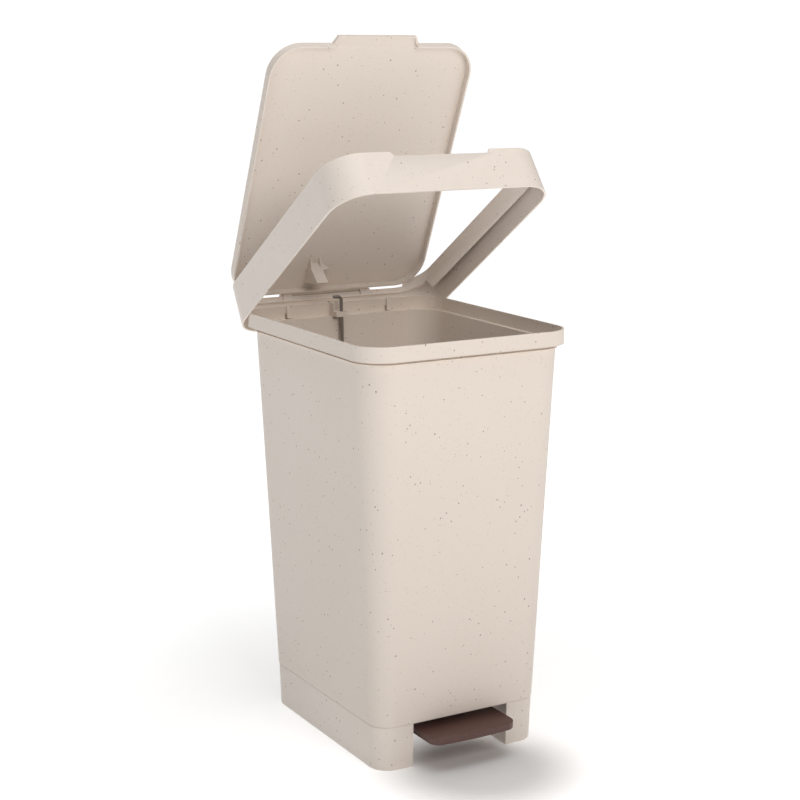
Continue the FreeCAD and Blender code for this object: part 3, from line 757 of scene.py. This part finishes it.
# %% Snap brackets
for side, word in ((-1, "left"), (1, "right")):
    x0, x1 = side * bracket_x - 4 * mm, side * bracket_x + 4 * mm
    t0, t1 = side * bracket_x - 2.5 * mm, side * bracket_x + 2.5 * mm
    bracket = box_piece("snap_bracket_" + word, (x0, x1), (collar[2], collar[2] + 2.4 * mm),
                        (ring_axis.z - 3.5 * mm, rim_z - 2 * mm))
    join(bracket, box_piece("arm", (x0 + 0.01 * mm, x1 - 0.01 * mm), (collar[2] + mm, ring_axis.y),
                            (ring_axis.z - 3.49 * mm, ring_axis.z + 4.5 * mm)))
    join(bracket, roller_piece("knuckle", 4.99 * mm, x0, x1, ring_axis))
    join(bracket, box_piece("tongue", (t0, t1), (inside - 3 * mm, collar[2] + mm),
                            (collar_z + 2.6 * mm, collar_z + 6.6 * mm)))
    join(bracket, outline_piece("hook", [(inside - 3.2 * mm, collar_z + 2.59 * mm),
                                         (inside - 0.01 * mm, collar_z + 2.59 * mm),
                                         (inside - 0.01 * mm, rim_z + mm),
                                         (inside - 1.2 * mm, rim_z + mm),
                                         (inside - 3.2 * mm, rim_z - 5 * mm)],
                                t0 + 0.01 * mm, t1 - 0.01 * mm))
    cut(bracket, roller_piece("bore", pin_bore, x0 - mm, x1 + mm, ring_axis))
    soften(bracket, 0.4 * mm)
    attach(bracket, "bin")
    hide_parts("hinge_bracket_" + word)
    report(bracket)

# %% [markdown]
# ## The lift rod
# The rod is one length of steel wire with its top bent over to one side. A circle is laid at the foot,
# extruded up, spun through a quarter turn for the bend and extruded once more for the hook. The wire's
# slight lean comes last, as one turn about its foot.

# %% Lift rod
rod_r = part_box("lift_rod")[1][0] - rod_x
rod_angle = math.atan(rod_lean)
rod_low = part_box("lift_rod")[0][2] + rod_r * math.sin(rod_angle)
bend = 5 * mm
rod_top = rim_z + 8.5 * mm
reach = (rod_top - rod_low) / math.cos(rod_angle)
rod_foot = (rod_x, rod_y(rod_low), rod_low)
straight_parts = 8
bpy.ops.mesh.primitive_circle_add(vertices=24, radius=rod_r, fill_type="NGON", location=rod_foot)
rod = adopt("lift_wire")
open_mesh(rod)
select_all()
for part in range(straight_parts):
    lift = (0, 0, (reach - bend) / straight_parts)
    bpy.ops.mesh.extrude_region_move(TRANSFORM_OT_translate={"value": lift})
bpy.ops.mesh.spin(steps=10, angle=math.pi / 2, axis=(0, 1, 0),
                  center=(rod_x - bend, rod_foot[1], rod_low + reach - bend))
bpy.ops.mesh.extrude_region_move(TRANSFORM_OT_translate={"value": (hook_tip - rod_x + bend, 0, 0)})
select_all()
bpy.ops.mesh.remove_doubles(threshold=merge_reach)
bpy.ops.mesh.normals_make_consistent(inside=False)
bpy.ops.transform.rotate(value=rod_angle, orient_axis="X", center_override=rod_foot)
close_mesh()
soften(rod, 0.5 * mm, angle=50)
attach(rod, "rod")
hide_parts("lift_rod")
report(rod)

# %% [markdown]
# ## The pedal
# The tread is a thick plate. Bevelling its upright front edges rounds two corners. The front is bowed:
# slices give it points to move, and each is pushed forward by less the further it is from the middle.

# %% Pedal plate
pedal_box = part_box("pedal_pad")
tread_half = pedal_box[1][0]
tread_front = pedal_box[0][1] + 1.5 * mm
tread_back = pedal_box[1][1]
tread_low = pedal_box[0][2]
tread_top = pedal_box[1][2]
corner_r = 13 * mm
flat_half = tread_half - corner_r
bow_most = 1.5 * mm
slices = [share * 10 * mm for share in range(-3, 4)]
tread = box_piece("pedal_tread", (-tread_half, tread_half), (tread_front, tread_back),
                  (tread_low, tread_top))
open_mesh(tread)
bpy.ops.mesh.select_mode(type="EDGE")
mesh = edit_mesh()
for edge in mesh.edges:
    a, b = edge.verts
    edge.select = abs(a.co.z - b.co.z) > mm and a.co.y < -150 * mm
bmesh.update_edit_mesh(tread.data)
bpy.ops.mesh.bevel(offset=corner_r, segments=10, affect="EDGES")
bpy.ops.mesh.select_mode(type="VERT")
for x in slices:
    select_all()
    bpy.ops.mesh.bisect(plane_co=(x, 0, 0), plane_no=(1, 0, 0))
for x in slices:
    bow = bow_most * (1 - (x / flat_half) ** 2)
    select_where(lambda co: abs(co.x - x) < 0.1 * mm and abs(co.y - tread_front) < 0.1 * mm)
    bpy.ops.transform.translate(value=(0, -bow, 0))
close_mesh()
print("pedal plate", len(tread.data.polygons), "faces")

# %% [markdown]
# The plate's top is inset and sunk a little, so that a soft rim is left round it. From behind, a pocket
# takes the lever's blade.

# %% Pedal rim and pocket
rim_wide = 4.2 * mm
rim_high = 0.7 * mm
plate_thick = 4 * mm
play = 0.05 * mm
open_mesh(tread)
bpy.ops.mesh.select_mode(type="FACE")
mesh = edit_mesh()
for face in mesh.faces:
    face.select = face.normal.z > 0.9
bmesh.update_edit_mesh(tread.data)
bpy.ops.mesh.inset(thickness=rim_wide)
bpy.ops.transform.translate(value=(0, 0, -rim_high))
close_mesh()
plate_top = tread_top - (tread_top - tread_low - plate_thick) / 2
plate_half = tread_half - 13.5 * mm
cut(tread, box_piece("pocket", (-plate_half - play, plate_half + play),
                     (tread_front + 11 * mm - play, tread_back + mm),
                     (plate_top - plate_thick - play, plate_top + play)))
soften(tread, 1.3 * mm, segments=4, angle=20)
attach(tread, "pedal")
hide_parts("pedal_pad")
report(tread)

# %% [markdown]
# ## Camera
# The viewer stands to the left of the bin and a little above it, and looks slightly down. The camera
# tracks a given direction of view, and a tiny roll keeps the plinth level.

# %% Camera
camera_place = Vector((-0.9686, -1.6565, 0.7754))
camera_view = Vector((0.4937, 0.8457, -0.2023))
camera_roll = 0.19
camera_lens = 78.4
camera_shift = (-0.0023, -0.0004)
bpy.ops.object.camera_add(location=camera_place)
camera = bpy.context.object
camera.name = "camera"
camera.rotation_mode = "QUATERNION"
camera.rotation_quaternion = (camera_view.to_track_quat("-Z", "Y")
                              @ Quaternion((0, 0, 1), math.radians(camera_roll)))
camera.data.lens = camera_lens
camera.data.sensor_width = 36
camera.data.shift_x, camera.data.shift_y = camera_shift
camera.data.clip_end = 50
bpy.context.scene.camera = camera
print("camera", [round(c, 3) for c in camera.location])

# %% [markdown]
# ## Floor and light
# The bin stands on one very wide plane of pale paper, so that no edge of it comes into view. The paper
# gives off a little light of its own (see Studio paper), which keeps it as white as the sky behind it;
# less of it near the pedal paints a shadow there.

# %% Seamless floor
floor_wide = 60
bpy.ops.mesh.primitive_plane_add(size=floor_wide, location=(0, 0, 0))
sweep = adopt("studio_floor")
print("floor", [round(v, 2) for v in sweep.dimensions])

# %% [markdown]
# Four square panels light the bin. The key stands in front, slightly to the left. A smaller, warm panel
# reaches into the open bucket, a large one hangs above, and a very weak one lifts the left. The world
# is bright only where the camera sees it directly, which a Light Path node decides. The Standard
# view transform shows colours as they are given.

# %% Lights and world
aim_point = Vector((0, 0, 0.38))
sky_seen = 1.05


def soft_panel(name, place, size, watts):
    """A square area light that looks at the middle of the bin."""
    bpy.ops.object.light_add(type="AREA", location=place)
    panel = bpy.context.object
    panel.name = name
    panel.data.size = size
    panel.data.energy = watts
    aim = aim_point - Vector(place)
    panel.rotation_mode = "QUATERNION"
    panel.rotation_quaternion = aim.to_track_quat("-Z", "Y")
    return panel


sky_light = 0.1
key_watts = 9.5
warm_watts = 3.5
top_watts = 22
fill_watts = 0.2
soft_panel("key_panel", (-0.12, -2.1, 1.6), 0.9, key_watts)
warm = soft_panel("warm_panel", (0.25, -1.4, 1.1), 0.6, warm_watts)
warm.data.color = (1.0, 0.86, 0.74)
soft_panel("top_panel", (-0.1, -0.2, 2.3), 1.8, top_watts)
soft_panel("fill_panel", (-2.2, -0.8, 1.0), 1.6, fill_watts)
world = bpy.data.worlds.new("studio")
bpy.context.scene.world = world
world.use_nodes = True
sky = world.node_tree
backdrop = sky.nodes["Background"]
backdrop.inputs["Color"].default_value = (1, 1, 1, 1)
path = sky.nodes.new("ShaderNodeLightPath")
level = sky.nodes.new("ShaderNodeMapRange")
level.inputs["To Min"].default_value = sky_light
level.inputs["To Max"].default_value = sky_seen
sky.links.new(path.outputs["Is Camera Ray"], level.inputs["Value"])
sky.links.new(level.outputs["Result"], backdrop.inputs["Strength"])
bpy.context.scene.view_settings.view_transform = "Standard"

# %% [markdown]
# ## Finishes
# Every finish is built from nodes that read Object coordinates, so nothing slides when a part moves.
# Effects that several finishes share are node groups: build once, place with other values. These
# helpers add a group, a node or a Math node in one line each.

# %% Node helpers


def new_group(name, inputs, outputs):
    """An empty shader group with (socket name, socket type, default) inputs."""
    tree = bpy.data.node_groups.new(name, "ShaderNodeTree")
    for label, kind, value in inputs:
        socket = tree.interface.new_socket(label, in_out="INPUT", socket_type="NodeSocket" + kind)
        if value is not None:
            socket.default_value = value
    for label, kind in outputs:
        tree.interface.new_socket(label, in_out="OUTPUT", socket_type="NodeSocket" + kind)
    return tree, tree.nodes.new("NodeGroupInput"), tree.nodes.new("NodeGroupOutput")


def link(tree, start, end):
    """Wire one socket to another."""
    tree.links.new(start, end)


def node(tree, kind, **settings):
    """Add a node; settings with a socket's name in them set that socket."""
    made = tree.nodes.new("ShaderNode" + kind)
    for key, value in settings.items():
        if hasattr(made, key):
            setattr(made, key, value)
        else:
            made.inputs[key.replace("_", " ")].default_value = value
    return made


def maths(tree, operation, first, second=None, clamp=False):
    """One Math node; first and second are sockets or numbers."""
    made = node(tree, "Math", operation=operation, use_clamp=clamp)
    for slot, value in enumerate((first, second)):
        if hasattr(value, "is_output"):
            link(tree, value, made.inputs[slot])
        elif value is not None:
            made.inputs[slot].default_value = value
    return made.outputs[0]


print("node helpers ready")

# %% [markdown]
# Speckles are grains of darker plastic in the pale one. A Voronoi texture drops one point into each
# cell; the distance to it, cut off at the grain's radius, is a dot. Each cell also has its own random
# colour, which here decides whether the grain shows and how large it is.

# %% Group: flecks
flecks, into, out = new_group(
    "flecks",
    [("Vector", "Vector", None), ("Scale", "Float", 120.0), ("Radius", "Float", 0.06),
     ("Share", "Float", 0.7), ("Softness", "Float", 0.02)],
    [("Mask", "Float")])
cells = node(flecks, "TexVoronoi", voronoi_dimensions="3D", feature="F1", Randomness=1.0)
turned_cells = node(flecks, "Mapping", Rotation=(0.6, 0.45, 0.3))
link(flecks, into.outputs["Vector"], turned_cells.inputs["Vector"])
link(flecks, turned_cells.outputs["Vector"], cells.inputs["Vector"])
link(flecks, into.outputs["Scale"], cells.inputs["Scale"])
chance = node(flecks, "SeparateColor")
link(flecks, cells.outputs["Color"], chance.inputs["Color"])
size = maths(flecks, "MULTIPLY", maths(flecks, "ADD", chance.outputs["Green"], 0.5),
             into.outputs["Radius"])
edge = maths(flecks, "DIVIDE", maths(flecks, "SUBTRACT", size, cells.outputs["Distance"]),
             into.outputs["Softness"], clamp=True)
shown = maths(flecks, "LESS_THAN", chance.outputs["Red"], into.outputs["Share"])
link(flecks, maths(flecks, "MULTIPLY", edge, shown), out.inputs["Mask"])
print("group", flecks.name, [s.name for s in flecks.interface.items_tree])

# %% [markdown]
# Moulded plastic is never quite even. A slow noise shifts its tone, and a fine one gives the grain of the
# mould, which the gloss and a very low bump both follow.

# %% Group: moulded skin
skin, into, out = new_group(
    "moulded_skin",
    [("Vector", "Vector", None), ("Cloud Scale", "Float", 9.0), ("Grain Scale", "Float", 1500.0),
     ("Roughness", "Float", 0.5), ("Spread", "Float", 0.08)],
    [("Tone", "Float"), ("Roughness", "Float"), ("Height", "Float")])
cloud = node(skin, "TexNoise", noise_dimensions="3D", Detail=3.0)
grain = node(skin, "TexNoise", noise_dimensions="3D", Detail=2.0)
for noise, scale in ((cloud, "Cloud Scale"), (grain, "Grain Scale")):
    link(skin, into.outputs["Vector"], noise.inputs["Vector"])
    link(skin, into.outputs[scale], noise.inputs["Scale"])
link(skin, cloud.outputs["Fac"], out.inputs["Tone"])
link(skin, grain.outputs["Fac"], out.inputs["Height"])
both = maths(skin, "ADD", maths(skin, "SUBTRACT", cloud.outputs["Fac"], 0.5),
             maths(skin, "SUBTRACT", grain.outputs["Fac"], 0.5))
link(skin, maths(skin, "ADD", into.outputs["Roughness"], maths(skin, "MULTIPLY", both,
               into.outputs["Spread"])), out.inputs["Roughness"])
print("group", skin.name)

# %% [markdown]
# Edges get rubbed, so they turn smoother and paler. Geometry's Pointiness is high on convex edges; a ramp
# keeps only those and a noise breaks the line up.

# %% Group: rubbed edges
wear, into, out = new_group(
    "rubbed_edges",
    [("Vector", "Vector", None), ("Start", "Float", 0.52), ("Width", "Float", 0.06),
     ("Patch Scale", "Float", 60.0)],
    [("Mask", "Float")])
shape = node(wear, "NewGeometry")
patch = node(wear, "TexNoise", noise_dimensions="3D", Detail=2.0)
link(wear, into.outputs["Vector"], patch.inputs["Vector"])
link(wear, into.outputs["Patch Scale"], patch.inputs["Scale"])
rise = maths(wear, "DIVIDE", maths(wear, "SUBTRACT", shape.outputs["Pointiness"], into.outputs["Start"]),
             into.outputs["Width"], clamp=True)
link(wear, maths(wear, "MULTIPLY", rise, patch.outputs["Fac"]), out.inputs["Mask"])
print("group", wear.name)

# %% [markdown]
# Every finish starts as a material with its Object coordinates and ends with colour, roughness and one
# bump wired into the shader. In between, groups are placed and colours are mixed.

# %% Finish helpers


def new_finish(name):
    """A material, its node tree, its shader and its Object coordinates."""
    finish = bpy.data.materials.new(name)
    finish.use_nodes = True
    tree = finish.node_tree
    shader = tree.nodes["Principled BSDF"]
    return finish, tree, shader, node(tree, "TexCoord").outputs["Object"]


def placed(tree, group, where, **values):
    """Put a group into a material with its own values."""
    made = tree.nodes.new("ShaderNodeGroup")
    made.node_tree = group
    link(tree, where, made.inputs["Vector"])
    for key, value in values.items():
        made.inputs[key.replace("_", " ")].default_value = value
    return made


def tinted(tree, mask, below, above, most=1.0):
    """Mix two colours by a mask; each is a socket or an (r, g, b)."""
    mix = node(tree, "Mix", data_type="RGBA")
    link(tree, maths(tree, "MULTIPLY", mask, most), mix.inputs["Factor"])
    for socket, value in ((mix.inputs[6], below), (mix.inputs[7], above)):
        if hasattr(value, "is_output"):
            link(tree, value, socket)
        else:
            socket.default_value = (*value, 1)
    return mix.outputs[2]


def dress(tree, shader, colour, roughness, height, strength, distance):
    """Wire colour and roughness, and a height through one Bump node, into the shader."""
    link(tree, colour, shader.inputs["Base Color"])
    link(tree, roughness, shader.inputs["Roughness"])
    bump = node(tree, "Bump", Strength=strength, Distance=distance)
    link(tree, height, bump.inputs["Height"])
    link(tree, bump.outputs["Normal"], shader.inputs["Normal"])


print("finish helpers ready")

# %% [markdown]
# ### Speckled pale plastic
# Matt polypropylene with two sizes of fleck: a few dark grains and many faint ones. Its tone drifts
# between two close colours, and rubbed edges turn slightly paler and glossier. The ring wears a whiter
# mix than the bucket. The plinth wears it too, though it is the bucket's plastic: there the paler mix is
# painted light, the lighter tone that light gives its sides. A function builds both mixes.

# %% Speckled plastic
faint_fleck = (0.46, 0.39, 0.33)
dark_fleck = (0.20, 0.15, 0.115)


def speckled_plastic(name, pale, shade, dark_share, faint_share):
    """Pale plastic with few dark and many faint flecks."""
    finish, tree, shader, where = new_finish(name)
    surface = placed(tree, skin, where, Cloud_Scale=7.0, Grain_Scale=1400.0, Roughness=0.52, Spread=0.10)
    worn = placed(tree, wear, where, Start=0.53, Width=0.08)
    faint = placed(tree, flecks, where, Scale=285.0, Radius=0.13, Share=faint_share, Softness=0.05)
    sparse = placed(tree, flecks, where, Scale=150.0, Radius=0.105, Share=dark_share, Softness=0.03)
    colour = tinted(tree, surface.outputs["Tone"], pale, shade)
    colour = tinted(tree, worn.outputs["Mask"], colour, tuple(min(1, c * 1.06) for c in pale), 0.5)
    colour = tinted(tree, faint.outputs["Mask"], colour, faint_fleck, 0.6)
    colour = tinted(tree, sparse.outputs["Mask"], colour, dark_fleck, 0.8)
    gloss = maths(tree, "SUBTRACT", surface.outputs["Roughness"],
                  maths(tree, "MULTIPLY", worn.outputs["Mask"], 0.12))
    dress(tree, shader, colour, gloss, surface.outputs["Height"], 0.25, 0.00004)
    return finish


cream = speckled_plastic("cream_speckled_plastic", (0.80, 0.72, 0.65), (0.765, 0.685, 0.61),
                         dark_share=0.55, faint_share=0.85)
# The ring's paler plastic; on the plinth this same mix is painted light.
ring_mix_and_plinth_painted_light = speckled_plastic("ring_plastic_and_plinth_painted_light", (0.82, 0.745, 0.68), (0.79, 0.71, 0.64),
                              dark_share=0.6, faint_share=0.7)
print("finishes", cream.name, ring_mix_and_plinth_painted_light.name)

# %% [markdown]
# ### Dark brown pedal plastic
# A matt, warm brown with a leathery moulded grain and soles' dust in it; its rubbed rim is paler. The
# function builds every dark finish: a tone between two colours, dots, rubbed edges and a bump.

# %% Brown plastic


def dark_finish(name, tones, surface_values, dots, dot_colour, bump, rubbed=None):
    """A finish in two tones with paler dots, and rubbed edges if they are given."""
    finish, tree, shader, where = new_finish(name)
    surface = placed(tree, skin, where, **surface_values)
    colour = tinted(tree, surface.outputs["Tone"], *tones)
    colour = tinted(tree, placed(tree, flecks, where, **dots).outputs["Mask"], colour, dot_colour, 0.4)
    if rubbed:
        rubbed_colour, most, values = rubbed
        worn = placed(tree, wear, where, **values)
        colour = tinted(tree, worn.outputs["Mask"], colour, rubbed_colour, most)
    dress(tree, shader, colour, surface.outputs["Roughness"], surface.outputs["Height"], *bump)
    print("finish", finish.name)
    return finish


brown = dark_finish(
    "brown_moulded_plastic", ((0.105, 0.050, 0.041), (0.125, 0.062, 0.051)),
    dict(Cloud_Scale=24.0, Grain_Scale=900.0, Roughness=0.48, Spread=0.16),
    dict(Scale=420.0, Radius=0.12, Share=0.22, Softness=0.08), (0.16, 0.10, 0.085),
    bump=(0.45, 0.00008),
    rubbed=((0.18, 0.11, 0.092), 0.6, dict(Start=0.52, Width=0.06, Patch_Scale=90.0)))

# %% [markdown]
# ### Grey lever plastic
# The lever's plastic is filled with glass fibres, which show as many small pale dots.

# %% Grey plastic
grey = dark_finish(
    "grey_filled_plastic", ((0.20, 0.20, 0.205), (0.26, 0.26, 0.265)),
    dict(Cloud_Scale=30.0, Grain_Scale=1100.0, Roughness=0.55, Spread=0.14),
    dict(Scale=600.0, Radius=0.14, Share=0.4, Softness=0.1), (0.34, 0.34, 0.34),
    bump=(0.35, 0.00006), rubbed=((0.42, 0.42, 0.42), 0.5, {}))

# %% [markdown]
# ### Drawn steel
# Drawn wire carries fine scratches along its length: a noise stretched by a Mapping node gives them,
# upright for the rod and across for the pins.

# %% Drawn steel


def drawn_steel(name, stretch, clean, dull):
    """Metal whose scratches run along the axis that stretch makes short."""
    finish, tree, shader, where = new_finish(name)
    turn = node(tree, "Mapping", Scale=stretch)
    link(tree, where, turn.inputs["Vector"])
    scratch = node(tree, "TexNoise", noise_dimensions="3D", Scale=900.0, Detail=4.0)
    link(tree, turn.outputs["Vector"], scratch.inputs["Vector"])
    surface = placed(tree, skin, where, Cloud_Scale=40.0, Grain_Scale=1600.0, Roughness=0.34, Spread=0.22)
    colour = tinted(tree, surface.outputs["Tone"], clean, dull)
    colour = tinted(tree, scratch.outputs["Fac"], colour, tuple(c * 0.62 for c in dull), 0.45)
    shader.inputs["Metallic"].default_value = 0.9
    dress(tree, shader, colour, surface.outputs["Roughness"], scratch.outputs["Fac"], 0.3, 0.00003)
    return finish


wire_steel = drawn_steel("drawn_wire_steel", (1, 1, 0.03), (0.42, 0.40, 0.39), (0.30, 0.285, 0.27))
pin_steel = drawn_steel("turned_pin_steel", (0.03, 1, 1), (0.60, 0.59, 0.58), (0.45, 0.44, 0.43))
print("finishes", wire_steel.name, pin_steel.name)

# %% [markdown]
# ### Soft rubber
# Rubber is dull, with dust that settles in its pores and shows as pale dots.

# %% Soft rubber
rubber = dark_finish(
    "soft_dull_rubber", ((0.16, 0.155, 0.15), (0.22, 0.215, 0.21)),
    dict(Cloud_Scale=50.0, Grain_Scale=1300.0, Roughness=0.78, Spread=0.12),
    dict(Scale=700.0, Radius=0.2, Share=0.5, Softness=0.1), (0.33, 0.32, 0.31), bump=(0.5, 0.0001))

# %% [markdown]
# ### Studio paper
# The floor is plain white paper. Its own glow makes it as white as the sky, but would wash out every
# shadow. So the glow depends on the distance from a point near the pedal: two smooth steps leave it
# dark there, which paints a shadow under and in front of the pedal, and bring it back further out.

# %% Studio paper
painted_shadow_middle = 0.165
paper, tree, shader, where = new_finish("studio_paper")
surface = placed(tree, skin, where, Cloud_Scale=1.5, Grain_Scale=300.0, Roughness=0.9, Spread=0.04)
link(tree, tinted(tree, surface.outputs["Tone"], (0.93, 0.93, 0.93), (0.90, 0.90, 0.90)),
               shader.inputs["Base Color"])
link(tree, surface.outputs["Roughness"], shader.inputs["Roughness"])
centred = node(tree, "Mapping", Location=(0, painted_shadow_middle, 0))
link(tree, where, centred.inputs["Vector"])
distance = node(tree, "VectorMath", operation="LENGTH")
link(tree, centred.outputs["Vector"], distance.inputs[0])
levels = []
# The first step keeps the glow low near the pedal: a painted shadow under and in front of it.
for start, end, most in ((0.05, 0.14, 0.52), (0.35, 1.2, 0.45)):
    step = node(tree, "MapRange", interpolation_type="SMOOTHSTEP")
    for label, value in (("From Min", start), ("From Max", end), ("To Min", 0), ("To Max", most)):
        step.inputs[label].default_value = value
    link(tree, distance.outputs["Value"], step.inputs["Value"])
    levels.append(step.outputs["Result"])
glow = tinted(tree, maths(tree, "ADD", *levels), (0, 0, 0), (1, 1, 1))
link(tree, glow, shader.inputs["Emission Color"])
shader.inputs["Emission Strength"].default_value = 1.0
print("finish", paper.name)

# %% [markdown]
# ### Who wears what
# Each family of parts is one line. A new piece gets a slot; a node of the frame keeps its mesh, and only
# the material in its slots is exchanged.

# %% Give out the finishes
finishes = {
    cream: ["bucket", "lid_shell", "lid_wedge", "rod_clip", "snap_bracket_left", "snap_bracket_right"],
    # On the plinth this paler mix is painted light.
    ring_mix_and_plinth_painted_light: ["bag_frame", "plinth_skirt"],
    brown: ["pedal_tread"],
    grey: ["pedal_lever", "rod_floor_bush", "rod_bead"],
    wire_steel: ["lift_wire"],
    pin_steel: ["base_screws", "ring_hinge_pin_left", "ring_hinge_pin_right", "lid_hinge_pin_left",
                "lid_hinge_pin_right", "pedal_axle", "axle_clips", "rod_nut"],
    rubber: ["lever_bumper", "lid_pad_left", "lid_pad_right", "foot_front_left", "foot_front_right",
             "foot_back_left", "foot_back_right"],
    paper: ["studio_floor"],
}
for finish, names in finishes.items():
    for name in names:
        thing = bpy.data.objects.get(name) or frame["nodes"][name]
        if not thing.material_slots:
            thing.data.materials.append(finish)
        for slot in thing.material_slots:
            slot.material = finish
    print(finish.name, len(names), "pieces")
